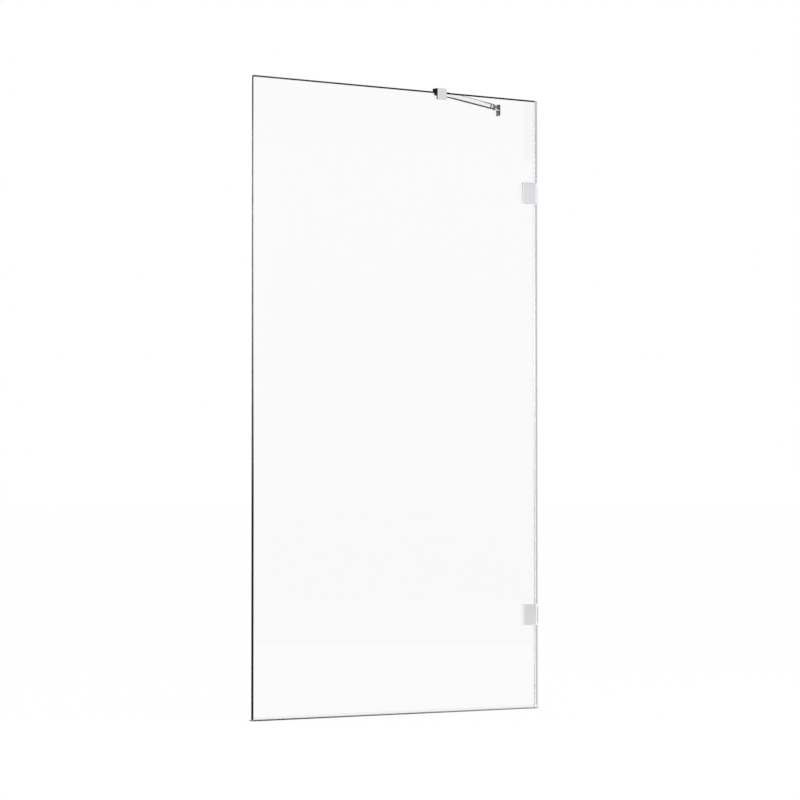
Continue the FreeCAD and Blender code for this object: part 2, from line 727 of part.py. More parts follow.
def make_support_bar():
    make_bar_tube()
    make_bar_fitting("bar_fitting_glass_end", CLIP_X, PIVOT_Y, BAR_HEIGHT,
                     "bar_angle + 90", "bar_fall_angle")
    make_bar_fitting("bar_fitting_wall_end", FOOT_X, FOOT_Y, FOOT_HEIGHT,
                     "bar_angle - 90", "-bar_fall_angle")
    places = []
    top = "(bar_grub_length + end_bevel - bar_diameter / 2)"
    for along in ("(bar_end_distance + bar_grub_distance)",
                  "(bar_centres - bar_end_distance - bar_grub_distance)"):
        out = "(%s * cos(bar_fall_angle * 1 deg) + %s * sin(bar_fall_angle * 1 deg))" % (along, top)
        down = "(%s * sin(bar_fall_angle * 1 deg) - %s * cos(bar_fall_angle * 1 deg))" % (along, top)
        places.append((CLIP_X + " + " + out + " * cos(bar_angle * 1 deg)",
                       PIVOT_Y + " + " + out + " * sin(bar_angle * 1 deg)",
                       BAR_HEIGHT + " - " + down))
    make_grubs("bar_grub_screws", places, "bar_grub_length",
               ("-sin(bar_angle * 1 deg)", "cos(bar_angle * 1 deg)", "0"), "180 + bar_fall_angle")


def make_foot_plate():
    """Small cast bracket: a plate on the wall, its screw hole below and its fork above."""
    body = new_body("wall_foot_bracket", FOOT_X, FOOT_Y, FOOT_HEIGHT)
    turn_by(body, ("0", "0", "1"), "90")
    wall_face = "-foot_pivot_offset"
    plate_face = "-foot_pivot_offset + foot_thickness"
    bottom = "(knuckle_height / 2 - foot_height)"
    sketch = new_sketch(body, "XZ_Plane", "foot_pivot_offset")
    add_box_outline(sketch, "-foot_width / 2", "foot_width / 2", bottom, "knuckle_height / 2")
    plate = pad(body, sketch, "foot_thickness", reverse=True)
    low = number_of(bottom)
    soften(body, plate, "Fillet", "foot_corner_radius",
           lambda edge: runs_along(edge, 1) and lies_at(edge, 2, low))
    add_fork(body, wall_face + " + foot_thickness / 2", "0", "0")
    screw = new_sketch(body, "XZ_Plane", "-(" + plate_face + ")")
    add_circle(screw, "0", bottom + " + foot_screw_height", "foot_screw_hole / 2")
    countersunk_hole(body, screw, "foot_screw_hole", "foot_screw_head")


def make_wall_foot():
    make_foot_plate()
    make_pin("wall_foot_pin", FOOT_X, FOOT_Y, FOOT_HEIGHT)


make_glass()
make_bottom_seal()
make_wall_seals()
make_wall_clamps()
make_top_clip()
make_support_bar()
make_wall_foot()
document.recompute()

for item in document.Objects:
    if "Invalid" in item.State or "Error" in item.State:
        raise RuntimeError("%s is %s" % (item.Label, item.State))
for part in parts:
    if part.Shape.isNull() or not part.Shape.isValid():
        raise RuntimeError(part.Label + " has no valid shape")

os.makedirs("parts", exist_ok=True)
for part in parts:
    part.Shape.exportStep("parts/%s.step" % part.Label)
    box = part.Shape.BoundBox
    print("%-26s %d solid(s) %10.1f mm3  x %.1f..%.1f  y %.1f..%.1f  z %.1f..%.1f" % (
        part.Label, len(part.Shape.Solids), part.Shape.Volume,
        box.XMin, box.XMax, box.YMin, box.YMax, box.ZMin, box.ZMax))
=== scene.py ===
import math
import bpy
from mathutils import Matrix, Vector


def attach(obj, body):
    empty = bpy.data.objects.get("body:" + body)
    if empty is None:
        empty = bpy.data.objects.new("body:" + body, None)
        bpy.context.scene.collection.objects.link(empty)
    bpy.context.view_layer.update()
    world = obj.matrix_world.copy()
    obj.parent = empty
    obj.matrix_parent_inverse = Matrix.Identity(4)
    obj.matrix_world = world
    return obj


# Frameless bath screen: a fixed sheet of clear toughened glass, two flat chrome wall clamps,
# clear seals at the wall and along the bath rim, and a short chrome bar from a clip on the
# top edge to a swivel foot on the wall. Metres; +X to the wall, +Y the bar's side, +Z up.

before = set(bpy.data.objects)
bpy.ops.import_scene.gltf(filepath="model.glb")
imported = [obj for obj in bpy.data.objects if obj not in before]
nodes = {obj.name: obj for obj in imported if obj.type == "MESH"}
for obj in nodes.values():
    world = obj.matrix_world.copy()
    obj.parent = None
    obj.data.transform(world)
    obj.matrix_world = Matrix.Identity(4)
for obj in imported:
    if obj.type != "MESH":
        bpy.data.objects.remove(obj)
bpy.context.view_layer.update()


# ---- Glass sheet -----------------------------------------------------------------------
# Float glass, cut, drilled for the clamps, its edges ground with a narrow arris and then
# polished, and toughened last in a roller furnace. It stands in the seal on the bath rim.

MM = 0.001


def linear(hex_colour):
    """An sRGB hex colour as linear RGBA."""
    channels = [int(hex_colour[place:place + 2], 16) / 255 for place in (1, 3, 5)]
    return [c / 12.92 if c <= 0.04045 else ((c + 0.055) / 1.055) ** 2.4 for c in channels] + [1]


def new_material(name):
    """An empty node material and its output node."""
    material = bpy.data.materials.new(name)
    material.use_nodes = True
    material.node_tree.nodes.clear()
    output = material.node_tree.nodes.new("ShaderNodeOutputMaterial")
    return material, output


def add(tree, kind, sockets, **settings):
    """Add a shader node; each socket gets a value, or a link from another node's output."""
    made = tree.nodes.new(kind)
    for name, value in settings.items():
        setattr(made, name, value)
    for socket, value in sockets.items():
        if isinstance(value, bpy.types.NodeSocket):
            tree.links.new(value, made.inputs[socket])
        else:
            made.inputs[socket].default_value = value
    return made


def paint(material, *names):
    """Give CAD nodes a material in every slot of theirs."""
    for name in names:
        for slot in nodes[name].material_slots:
            slot.material = material


glass_half = 4 * MM
wall_edge = 394 * MM
glass_top = 1400 * MM
glass_bottom = 2 * MM
arris = 1.2 * MM
# A limit set this far past a face takes in that face and nothing beyond it.
hair = 0.02 * MM
bare_edge = arris + hair
# The painted dark band reaches this far down the faces from the top edge.
painted_top_band = 3.2 * MM
wall_face = wall_edge - 0.5 * MM
# Where the painted shade and painted reflection of the edge change: from and to, in height or along
# the sheet.
painted_line_widens = (500 * MM, 1050 * MM)
painted_grey_rises = (450 * MM, 1100 * MM)
painted_grey_fades = (-390 * MM, 150 * MM)
painted_corner_darkens = (1240 * MM, 1320 * MM)
painted_corner_grey = 0.35
painted_top_grey = 0.8
painted_wall_glow_strength = 0.6
roller_wave = 250 * MM
wave_height = 0.1 * MM
edge_grit = 12 * MM

glass, glass_output = new_material("toughened_float_glass")
tree = glass.node_tree
place = add(tree, "ShaderNodeTexCoord", {}).outputs["Object"]
# Roller wave: the furnace leaves a very low ripple, about 250 mm from crest to crest.
wave = add(tree, "ShaderNodeTexNoise", {"Vector": place, "Scale": 1 / roller_wave, "Detail": 1.0})
ripple = add(tree, "ShaderNodeBump", {"Height": wave.outputs["Fac"], "Strength": 0.02,
                                      "Distance": wave_height})
# Clear to look through, with hardly any of the green of iron in the glass.
sheet = add(tree, "ShaderNodeBsdfPrincipled",
            {"Base Color": linear("#FBFBFB"), "Roughness": 0.0, "IOR": 1.52,
             "Transmission Weight": 1.0, "Normal": ripple.outputs["Normal"]})
# The ground and polished edge carries painted shade and painted reflection. It reads black low down
# and towards the wall, and speckled grey high on the free edge, darker at its corner.
apart = add(tree, "ShaderNodeSeparateXYZ", {"Vector": place})
depth = add(tree, "ShaderNodeMath", {0: apart.outputs["Y"]}, operation="ABSOLUTE")
# Painted shade: lower down, the dark line takes in the arris as well.
painted_line_reach = add(tree, "ShaderNodeMapRange",
                 {"Value": apart.outputs["Z"], "From Min": painted_line_widens[0], "From Max": painted_line_widens[1],
                  "To Min": glass_half - hair, "To Max": glass_half - bare_edge})
on_edge = add(tree, "ShaderNodeMath", {0: depth.outputs[0], 1: painted_line_reach.outputs["Result"]},
              operation="LESS_THAN")
painted_top_band_mask = add(tree, "ShaderNodeMath", {0: apart.outputs["Z"], 1: glass_top - painted_top_band},
              operation="GREATER_THAN")
rim = add(tree, "ShaderNodeMath", {0: on_edge.outputs[0], 1: painted_top_band_mask.outputs[0]}, operation="MAXIMUM")
grit = add(tree, "ShaderNodeTexNoise", {"Vector": place, "Scale": 1 / edge_grit, "Detail": 3.0})
# Painted reflection: the grey rises with height, fades towards the wall, and dims at the top corner
# and in the top band.
painted_grey_higher = add(tree, "ShaderNodeMapRange",
             {"Value": apart.outputs["Z"], "From Min": painted_grey_rises[0], "From Max": painted_grey_rises[1],
              "To Min": 0.0, "To Max": 1.0})
along = add(tree, "ShaderNodeMapRange",
            {"Value": apart.outputs["X"], "From Min": painted_grey_fades[0], "From Max": painted_grey_fades[1],
             "To Min": 1.0, "To Max": 0.0})
painted_corner_shade = add(tree, "ShaderNodeMapRange",
             {"Value": apart.outputs["Z"], "From Min": painted_corner_darkens[0],
              "From Max": painted_corner_darkens[1], "To Min": 1.0, "To Max": painted_corner_grey})
painted_top_shade = add(tree, "ShaderNodeMapRange",
             {"Value": painted_top_band_mask.outputs[0], "To Min": 1.0, "To Max": painted_top_grey})
shade = painted_grey_higher.outputs["Result"]
for dimmer in (along.outputs["Result"], painted_corner_shade.outputs["Result"], grit.outputs["Fac"],
               painted_top_shade.outputs["Result"]):
    shade = add(tree, "ShaderNodeMath", {0: shade, 1: dimmer}, operation="MULTIPLY").outputs[0]
painted_edge_shade = add(tree, "ShaderNodeMix",
                {"Factor": shade, "A": linear("#020202"), "B": linear("#A7ACAA")}, data_type="RGBA")
# The edges in the seals are painted pale: painted light for the light that the seals pass to them.
at_wall = add(tree, "ShaderNodeMath", {0: apart.outputs["X"], 1: wall_face},
              operation="GREATER_THAN")
at_rim = add(tree, "ShaderNodeMath", {0: apart.outputs["Z"], 1: glass_bottom + bare_edge},
             operation="LESS_THAN")
in_seal = add(tree, "ShaderNodeMath", {0: at_wall.outputs[0], 1: at_rim.outputs[0]},
              operation="MAXIMUM")
painted_edge_light_and_shade = add(tree, "ShaderNodeMix",
                  {"Factor": in_seal.outputs[0], "A": painted_edge_shade.outputs["Result"],
                   "B": linear("#FDFDFD")}, data_type="RGBA")
# The wall edge also glows with painted light, for the light of the room beyond it that it lets
# through.
painted_wall_glow = add(tree, "ShaderNodeMix",
                  {"Factor": at_wall.outputs[0], "A": linear("#000000"), "B": linear("#FFFFFF")},
                  data_type="RGBA")
edge = add(tree, "ShaderNodeBsdfPrincipled",
           {"Base Color": painted_edge_light_and_shade.outputs["Result"], "Roughness": 0.3, "IOR": 1.52,
            "Specular IOR Level": 0.1, "Emission Color": painted_wall_glow.outputs["Result"],
            "Emission Strength": painted_wall_glow_strength})
both = add(tree, "ShaderNodeMixShader", {0: rim.outputs[0], 1: sheet.outputs[0], 2: edge.outputs[0]})
# Lamp light passes straight through, as it does through a flat sheet.
light_path = add(tree, "ShaderNodeLightPath", {})
through = add(tree, "ShaderNodeBsdfTransparent", {"Color": linear("#F7F9F8")})
clear = add(tree, "ShaderNodeMixShader",
            {0: light_path.outputs["Is Shadow Ray"], 1: both.outputs[0], 2: through.outputs[0]})
tree.links.new(clear.outputs[0], glass_output.inputs["Surface"])
paint(glass, "glass_panel")


# ---- Clear seals, gaskets and liner ------------------------------------------------------
# Soft clear PVC, extruded in long lengths and cut to fit: a channel with a drip fin under the
# glass and a channel with a hollow bulb at the wall. Flat pads of it line the clamps and clip.

bulb_start = wall_edge + 0.1 * MM
base_top = 2.1 * MM
die_line = 4 * MM
line_depth = 0.1 * MM
shine_face_on = 0.03
shine_edge_on = 0.9

pvc, pvc_output = new_material("extruded_clear_pvc")
tree = pvc.node_tree
place = add(tree, "ShaderNodeTexCoord", {}).outputs["Object"]
# Fine draw lines from the die and a slight haze. The thin legs on the glass hardly show. The bulb
# at the wall holds more of the haze and reads grey. The base under the glass reads grey from haze,
# with painted shade that darkens it towards its free end.
die_lines = add(tree, "ShaderNodeTexNoise", {"Vector": place, "Scale": 1 / die_line, "Detail": 3.0})
apart = add(tree, "ShaderNodeSeparateXYZ", {"Vector": place})
in_bulb = add(tree, "ShaderNodeMath", {0: apart.outputs["X"], 1: bulb_start},
              operation="GREATER_THAN")
in_base = add(tree, "ShaderNodeMath", {0: apart.outputs["Z"], 1: base_top}, operation="LESS_THAN")
bulb_haze = add(tree, "ShaderNodeMix",
                {"Factor": die_lines.outputs["Fac"], "A": linear("#F6F7F7"), "B": linear("#EBECED")},
                data_type="RGBA")
toward_wall = add(tree, "ShaderNodeMapRange",
                  {"Value": apart.outputs["X"], "From Min": -wall_edge, "From Max": wall_edge})
# Painted shade: the base's grey darkens towards the free end.
base_haze_and_painted_shade = add(tree, "ShaderNodeMix",
                {"Factor": toward_wall.outputs["Result"], "A": linear("#6B6C6C"),
                 "B": linear("#CBCCCC")}, data_type="RGBA")
leg_or_bulb = add(tree, "ShaderNodeMix",
                  {"Factor": in_bulb.outputs[0], "A": linear("#FEFEFE"),
                   "B": bulb_haze.outputs["Result"]}, data_type="RGBA")
haze = add(tree, "ShaderNodeMix",
           {"Factor": in_base.outputs[0], "A": leg_or_bulb.outputs["Result"],
            "B": base_haze_and_painted_shade.outputs["Result"]}, data_type="RGBA")
film = add(tree, "ShaderNodeBsdfTransparent", {"Color": haze.outputs["Result"]})
lines = add(tree, "ShaderNodeBump", {"Height": die_lines.outputs["Fac"], "Strength": 0.1,
                                     "Distance": line_depth})
gloss = add(tree, "ShaderNodeBsdfGlossy", {"Roughness": 0.15, "Normal": lines.outputs["Normal"]})
# Soft shine that grows strong only where the skin is seen edge on.
slant = add(tree, "ShaderNodeLayerWeight", {"Blend": 0.5})
steep = add(tree, "ShaderNodeMath", {0: slant.outputs["Facing"], 1: 5.0}, operation="POWER")
mirrored = add(tree, "ShaderNodeMapRange",
               {"Value": steep.outputs[0], "To Min": shine_face_on, "To Max": shine_edge_on})
skin = add(tree, "ShaderNodeMixShader",
           {0: mirrored.outputs["Result"], 1: film.outputs[0], 2: gloss.outputs[0]})
tree.links.new(skin.outputs[0], pvc_output.inputs["Surface"])
paint(pvc, "bottom_seal", "wall_seal_top", "wall_seal_middle", "wall_seal_bottom", "top_clip_liner",
      "upper_clamp_gasket_front", "upper_clamp_gasket_rear", "lower_clamp_gasket_front",
      "lower_clamp_gasket_rear")


# ---- Wall clamps -----------------------------------------------------------------------
# Brass, machined and chrome plated. A smooth plate on the dry side is drawn against the glass
# by a countersunk screw from the bath side, and the angle behind it is screwed to the wall.

blast_grain = 0.8 * MM
blast_depth = 0.05 * MM
water_mark = 12 * MM
nylon_grain = 2 * MM
lathe_feed = 1 * MM

satin, satin_output = new_material("satin_chrome_plated_brass")
tree = satin.node_tree
place = add(tree, "ShaderNodeTexCoord", {}).outputs["Object"]
# A very fine even blast under the chrome softens what the plate reflects. It is drawn coarser than
# it is, or it wouldn't show even close up.
blast = add(tree, "ShaderNodeTexNoise", {"Vector": place, "Scale": 1 / blast_grain, "Detail": 3.0})
satin_colour = add(tree, "ShaderNodeMix",
                   {"Factor": blast.outputs["Fac"], "A": linear("#F0F0F3"), "B": linear("#F5F5F8")},
                   data_type="RGBA")
satin_bump = add(tree, "ShaderNodeBump", {"Height": blast.outputs["Fac"], "Strength": 0.05,
                                          "Distance": blast_depth})
satin_metal = add(tree, "ShaderNodeBsdfPrincipled",
                  {"Base Color": satin_colour.outputs["Result"], "Metallic": 1.0, "Roughness": 0.18,
                   "Normal": satin_bump.outputs["Normal"]})
tree.links.new(satin_metal.outputs[0], satin_output.inputs["Surface"])
paint(satin, "upper_clamp_plate", "lower_clamp_plate")

chrome, chrome_output = new_material("polished_chrome_plated_brass")
tree = chrome.node_tree
place = add(tree, "ShaderNodeTexCoord", {}).outputs["Object"]
# Mirror bright, with the faint cloudiness that dried water leaves.
water_marks = add(tree, "ShaderNodeTexNoise",
                  {"Vector": place, "Scale": 1 / water_mark, "Detail": 2.0})
chrome_rough = add(tree, "ShaderNodeMapRange",
                   {"Value": water_marks.outputs["Fac"], "To Min": 0.02, "To Max": 0.05})
chrome_metal = add(tree, "ShaderNodeBsdfPrincipled",
                   {"Base Color": linear("#F1F2F4"), "Metallic": 1.0,
                    "Roughness": chrome_rough.outputs["Result"]})
tree.links.new(chrome_metal.outputs[0], chrome_output.inputs["Surface"])
paint(chrome, "upper_clamp_body", "lower_clamp_body")

nylon, nylon_output = new_material("moulded_white_nylon")
tree = nylon.node_tree
place = add(tree, "ShaderNodeTexCoord", {}).outputs["Object"]
# Milky white with the slight mottle of a moulded part.
grain = add(tree, "ShaderNodeTexNoise", {"Vector": place, "Scale": 1 / nylon_grain, "Detail": 2.0})
nylon_colour = add(tree, "ShaderNodeMix",
                   {"Factor": grain.outputs["Fac"], "A": linear("#E9E8E2"), "B": linear("#F1F0EB")},
                   data_type="RGBA")
nylon_body = add(tree, "ShaderNodeBsdfPrincipled",
                 {"Base Color": nylon_colour.outputs["Result"], "Roughness": 0.45, "IOR": 1.53})
tree.links.new(nylon_body.outputs[0], nylon_output.inputs["Surface"])
paint(nylon, "upper_clamp_bush", "lower_clamp_bush")

steel, steel_output = new_material("turned_stainless_steel")
tree = steel.node_tree
place = add(tree, "ShaderNodeTexCoord", {}).outputs["Object"]
# Grey and a little dull, broken up by the tool marks of the lathe.
tool_marks = add(tree, "ShaderNodeTexNoise",
                 {"Vector": place, "Scale": 1 / lathe_feed, "Detail": 3.0})
steel_rough = add(tree, "ShaderNodeMapRange",
                  {"Value": tool_marks.outputs["Fac"], "To Min": 0.22, "To Max": 0.38})
steel_metal = add(tree, "ShaderNodeBsdfPrincipled",
                  {"Base Color": linear("#C9C8C4"), "Metallic": 1.0,
                   "Roughness": steel_rough.outputs["Result"]})
tree.links.new(steel_metal.outputs[0], steel_output.inputs["Surface"])
paint(steel, "upper_clamp_screw", "lower_clamp_screw")


def countersunk_wall_screw(name, seat, head_radius, shank_radius, length):
    """A screw along +X with a flat cone head, its face level with the seat, and a cross recess."""
    land = 0.3 * MM
    rim_softness = 0.1 * MM
    cone = head_radius - shank_radius
    recess_depth = 0.55 * cone
    arm_width = 0.26 * head_radius
    arm_span = 1.1 * head_radius
    bpy.ops.object.select_all(action="DESELECT")
    bpy.ops.mesh.primitive_cone_add(
        vertices=48, radius1=head_radius, radius2=shank_radius, depth=cone,
        location=(seat[0] + land + cone / 2, seat[1], seat[2]), rotation=(0, math.pi / 2, 0))
    screw = bpy.context.object
    screw.name = name
    bpy.ops.object.transform_apply(location=True, rotation=True, scale=True)
    # The cone's small end is drawn out into the shank, and its wide end into the head's straight rim.
    for side, reach in ((1, length - land - cone), (-1, land)):
        bpy.ops.object.mode_set(mode="EDIT")
        bpy.ops.mesh.select_mode(type="FACE")
        bpy.ops.mesh.select_all(action="DESELECT")
        bpy.ops.object.mode_set(mode="OBJECT")
        for polygon in screw.data.polygons:
            polygon.select = polygon.normal.x * side > 0.99
        bpy.ops.object.mode_set(mode="EDIT")
        bpy.ops.mesh.extrude_region_move(TRANSFORM_OT_translate={"value": (side * reach, 0, 0)})
        bpy.ops.object.mode_set(mode="OBJECT")
    soft_rim = screw.modifiers.new("soft_rim", "BEVEL")
    soft_rim.width = rim_softness
    soft_rim.segments = 2
    soft_rim.limit_method = "ANGLE"
    soft_rim.angle_limit = math.radians(35)
    bpy.ops.object.modifier_apply(modifier=soft_rim.name)
    # The cross recess, one arm after the other.
    for arm in ((arm_width, arm_span), (arm_span, arm_width)):
        bpy.ops.mesh.primitive_cube_add(size=1, location=seat, scale=(2 * recess_depth, *arm))
        cutter = bpy.context.object
        recess = screw.modifiers.new("recess", "BOOLEAN")
        recess.operation = "DIFFERENCE"
        recess.solver = "EXACT"
        recess.object = cutter
        bpy.context.view_layer.objects.active = screw
        bpy.ops.object.modifier_apply(modifier=recess.name)
        bpy.data.objects.remove(cutter)
    bpy.ops.object.select_all(action="DESELECT")
    screw.select_set(True)
    bpy.context.view_layer.objects.active = screw
    bpy.ops.object.shade_smooth_by_angle(angle=math.radians(30))
    screw.data.materials.append(steel)
    return screw


# The four screws that hold the clamps to the wall, two through each flange.
flange_face = 396 * MM
flange_screw_y = 24 * MM
wall_screw_heights = {"upper_clamp_wall_screw_high": 1198, "upper_clamp_wall_screw_low": 1172,
                      "lower_clamp_wall_screw_high": 228, "lower_clamp_wall_screw_low": 202}
first_name, first_height = next(iter(wall_screw_heights.items()))
first_screw = countersunk_wall_screw(first_name, (flange_face, flange_screw_y, first_height * MM),
                                     head_radius=4.8 * MM, shank_radius=2.5 * MM, length=3.9 * MM)
for name, height in wall_screw_heights.items():
    wall_screw = first_screw
    if name != first_name:
        wall_screw = first_screw.copy()
        wall_screw.name = name
        wall_screw.data = first_screw.data.copy()
        wall_screw.data.transform(Matrix.Translation((0, 0, (height - first_height) * MM)))
        bpy.context.scene.collection.objects.link(wall_screw)
for name in wall_screw_heights:
    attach(bpy.data.objects[name], "panel")


# ---- Top clip --------------------------------------------------------------------------
# A chrome block slotted over the glass's top edge on a clear liner, held by two grub screws from
# behind. An ear on its back takes the steel pin that the bar turns on.

paint(chrome, "top_clip_body")
paint(steel, "top_clip_pin", "top_clip_grub_screws")


# ---- Support bar -----------------------------------------------------------------------
# Thin brass tube, drawn, polished along its length and chrome plated, with a turned fitting in
# each end, held by a grub screw from below.

bar_angle = math.radians(24.5)
clip_pivot = Vector((116.135, 15.95, 1402.0)) * MM
foot_pivot = Vector((390.0, 140.757, 1397.272)) * MM
tube_end = 31.5 * MM
tube_radius = 6.5 * MM
collar_shown = 6 * MM
ring_length = 6.5 * MM
ring_wall = 0.25 * MM
ring_play = 0.02 * MM
ring_edge = 0.08 * MM
polish_line = 0.7 * MM
polish_stretch = 0.03
turning_ring = 1.5 * MM

tube, tube_output = new_material("chrome_plated_brass_tube")
tree = tube.node_tree
place = add(tree, "ShaderNodeTexCoord", {}).outputs["Object"]
# Fine lines along the tube from drawing and polishing, which draw its reflections out.
lengthwise = add(tree, "ShaderNodeMapping", {"Vector": place, "Rotation": (0, 0, -bar_angle)})
drawn_out = add(tree, "ShaderNodeMapping",
                {"Vector": lengthwise.outputs["Vector"], "Scale": (polish_stretch, 1, 1)})
polish = add(tree, "ShaderNodeTexNoise",
             {"Vector": drawn_out.outputs["Vector"], "Scale": 1 / polish_line, "Detail": 2.0})
tube_rough = add(tree, "ShaderNodeMapRange",
                 {"Value": polish.outputs["Fac"], "To Min": 0.02, "To Max": 0.05})
tube_metal = add(tree, "ShaderNodeBsdfPrincipled",
                 {"Base Color": linear("#F1F2F4"), "Metallic": 1.0,
                  "Roughness": tube_rough.outputs["Result"]})
tree.links.new(tube_metal.outputs[0], tube_output.inputs["Surface"])
paint(tube, "bar_tube")

nickel, nickel_output = new_material("black_nickel_plated_brass")
tree = nickel.node_tree
place = add(tree, "ShaderNodeTexCoord", {}).outputs["Object"]
# Smoky grey and a little duller than the tube, with the fine rings of turning. The band of it
# beside the tube is polished bright.
turning = add(tree, "ShaderNodeTexNoise",
              {"Vector": place, "Scale": 1 / turning_ring, "Detail": 2.0})
nickel_colour = add(tree, "ShaderNodeMix",
                    {"Factor": turning.outputs["Fac"], "A": linear("#424346"), "B": linear("#4E4F52")},
                    data_type="RGBA")
lengthwise = add(tree, "ShaderNodeMapping", {"Vector": place, "Rotation": (0, 0, -bar_angle)})
along_bar = add(tree, "ShaderNodeSeparateXYZ", {"Vector": lengthwise.outputs["Vector"]})
bar_middle = (clip_pivot + foot_pivot) / 2
bar_half = (foot_pivot - clip_pivot).length / 2
from_middle = add(tree, "ShaderNodeMath",
                  {0: along_bar.outputs["X"],
                   1: bar_middle.x * math.cos(bar_angle) + bar_middle.y * math.sin(bar_angle)},
                  operation="SUBTRACT")
outward = add(tree, "ShaderNodeMath", {0: from_middle.outputs[0]}, operation="ABSOLUTE")
on_collar = add(tree, "ShaderNodeMath",
                {0: outward.outputs[0], 1: bar_half - tube_end + collar_shown / 2 + ring_play,
                 2: collar_shown / 2}, operation="COMPARE")
fitting_colour = add(tree, "ShaderNodeMix",
                     {"Factor": on_collar.outputs[0], "A": nickel_colour.outputs["Result"],
                      "B": linear("#F1F2F4")}, data_type="RGBA")
nickel_metal = add(tree, "ShaderNodeBsdfPrincipled",
                   {"Base Color": fitting_colour.outputs["Result"], "Metallic": 1.0, "Roughness": 0.1})
tree.links.new(nickel_metal.outputs[0], nickel_output.inputs["Surface"])
paint(nickel, "bar_fitting_glass_end", "bar_fitting_wall_end")

# A thin dark ring over each end of the tube is painted shade, for the shade where the tube meets its
# fitting. Its cross-section is drawn flat, its corners are softened, and it is spun round the bar's
# axis.
bpy.ops.object.select_all(action="DESELECT")
bpy.ops.mesh.primitive_plane_add(size=1, location=(0, tube_radius + ring_play + ring_wall / 2, 0))
first_shade_ring = bpy.context.object
first_shade_ring.name = "bar_end_shade_ring_wall"
first_shade_ring.scale = (ring_length, ring_wall, 1)
bpy.ops.object.transform_apply(location=True, rotation=True, scale=True)
bpy.ops.object.mode_set(mode="EDIT")
bpy.ops.mesh.select_all(action="SELECT")
bpy.ops.mesh.bevel(offset=ring_edge, segments=2, affect="VERTICES")
bpy.ops.mesh.delete(type="ONLY_FACE")
bpy.ops.mesh.select_all(action="SELECT")
bpy.ops.mesh.spin(steps=64, angle=2 * math.pi, center=(0, 0, 0), axis=(1, 0, 0))
bpy.ops.mesh.select_all(action="SELECT")
bpy.ops.mesh.remove_doubles(threshold=0.001 * MM)
bpy.ops.mesh.normals_make_consistent(inside=False)
bpy.ops.object.mode_set(mode="OBJECT")
bpy.ops.object.shade_smooth_by_angle(angle=math.radians(30))
first_shade_ring.data.materials.append(nickel)
glass_shade_ring = first_shade_ring.copy()
glass_shade_ring.name = "bar_end_shade_ring_glass"
glass_shade_ring.data = first_shade_ring.data.copy()
bpy.context.scene.collection.objects.link(glass_shade_ring)
toward_wall = (foot_pivot - clip_pivot).normalized()
turn = toward_wall.to_track_quat("X", "Z").to_matrix().to_4x4()
ring_centre = tube_end + ring_length / 2
for ring, centre in ((first_shade_ring, foot_pivot - toward_wall * ring_centre),
                     (glass_shade_ring, clip_pivot + toward_wall * ring_centre)):
    ring.data.transform(Matrix.Translation(centre) @ turn)
    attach(ring, "support_bar")
paint(steel, "bar_grub_screws")


# ---- Wall foot -------------------------------------------------------------------------
# A small chrome angle: a fork for the bar's pin above and a tab below it, which one countersunk
# screw holds to the wall.

paint(chrome, "wall_foot_bracket")
paint(steel, "wall_foot_pin")
foot_screw_seat = (397 * MM, 140.757 * MM, 1383.922 * MM)
foot_screw = countersunk_wall_screw("wall_foot_screw", foot_screw_seat,
                                    head_radius=3.6 * MM, shank_radius=1.8 * MM, length=2.9 * MM)
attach(foot_screw, "wall_foot")


# ---- Camera and studio -------------------------------------------------------------------
# The photograph's view, from the dry side and a little below the middle of the sheet, on a plain
# pale floor in soft white light. The camera was fitted to the outline in the photograph.

camera_data = bpy.data.cameras.new("camera")
camera = bpy.data.objects.new("camera", camera_data)
bpy.context.scene.collection.objects.link(camera)
camera.location = (-4.7064, -6.1323, 0.4659)
camera.rotation_euler = (math.radians(91.745), 0, math.radians(-37.523))
camera_data.lens = 155.72
camera_data.clip_end = 1000
bpy.context.scene.camera = camera

bpy.context.scene.view_settings.view_transform = "Standard"


def seen_white(tree):
    """1 for what the camera sees, straight or by way of metal and glass, and 0 for other light."""
    path = add(tree, "ShaderNodeLightPath", {})
    straight = add(tree, "ShaderNodeMath", {0: path.outputs["Is Camera Ray"],
                                            1: path.outputs["Is Glossy Ray"]}, operation="MAXIMUM")
    seen = add(tree, "ShaderNodeMath", {0: straight.outputs[0],
                                        1: path.outputs["Is Transmission Ray"]}, operation="MAXIMUM")
    return seen.outputs[0]


world = bpy.data.worlds.new("studio")
bpy.context.scene.world = world
world.use_nodes = True
tree = world.node_tree
tree.nodes.clear()
seen = seen_white(tree)
soft_light = add(tree, "ShaderNodeBackground", {"Color": (1, 1, 1, 1), "Strength": 0.9})
white = add(tree, "ShaderNodeBackground", {"Color": (1, 1, 1, 1), "Strength": 1.0})
mixed = add(tree, "ShaderNodeMixShader", {0: seen, 1: soft_light.outputs[0], 2: white.outputs[0]})
add(tree, "ShaderNodeOutputWorld", {"Surface": mixed.outputs[0]})

floor_material, floor_output = new_material("pale_floor")
tree = floor_material.node_tree
# The small share that isn't lit keeps the object's shadow on the floor.
lit_share = 0.95
share = add(tree, "ShaderNodeMath", {0: seen_white(tree), 1: lit_share}, operation="MULTIPLY")
matt = add(tree, "ShaderNodeBsdfDiffuse", {"Color": linear("#FBFBFB")})
lit = add(tree, "ShaderNodeEmission", {"Color": (1, 1, 1, 1), "Strength": 1.0})
mixed = add(tree, "ShaderNodeMixShader", {0: share.outputs[0], 1: matt.outputs[0], 2: lit.outputs[0]})
tree.links.new(mixed.outputs[0], floor_output.inputs["Surface"])
bpy.ops.object.select_all(action="DESELECT")
floor_side = 600
bpy.ops.mesh.primitive_plane_add(size=floor_side, location=(0, 0, 0))
floor = bpy.context.object
floor.name = "floor"
floor.data.materials.append(floor_material)

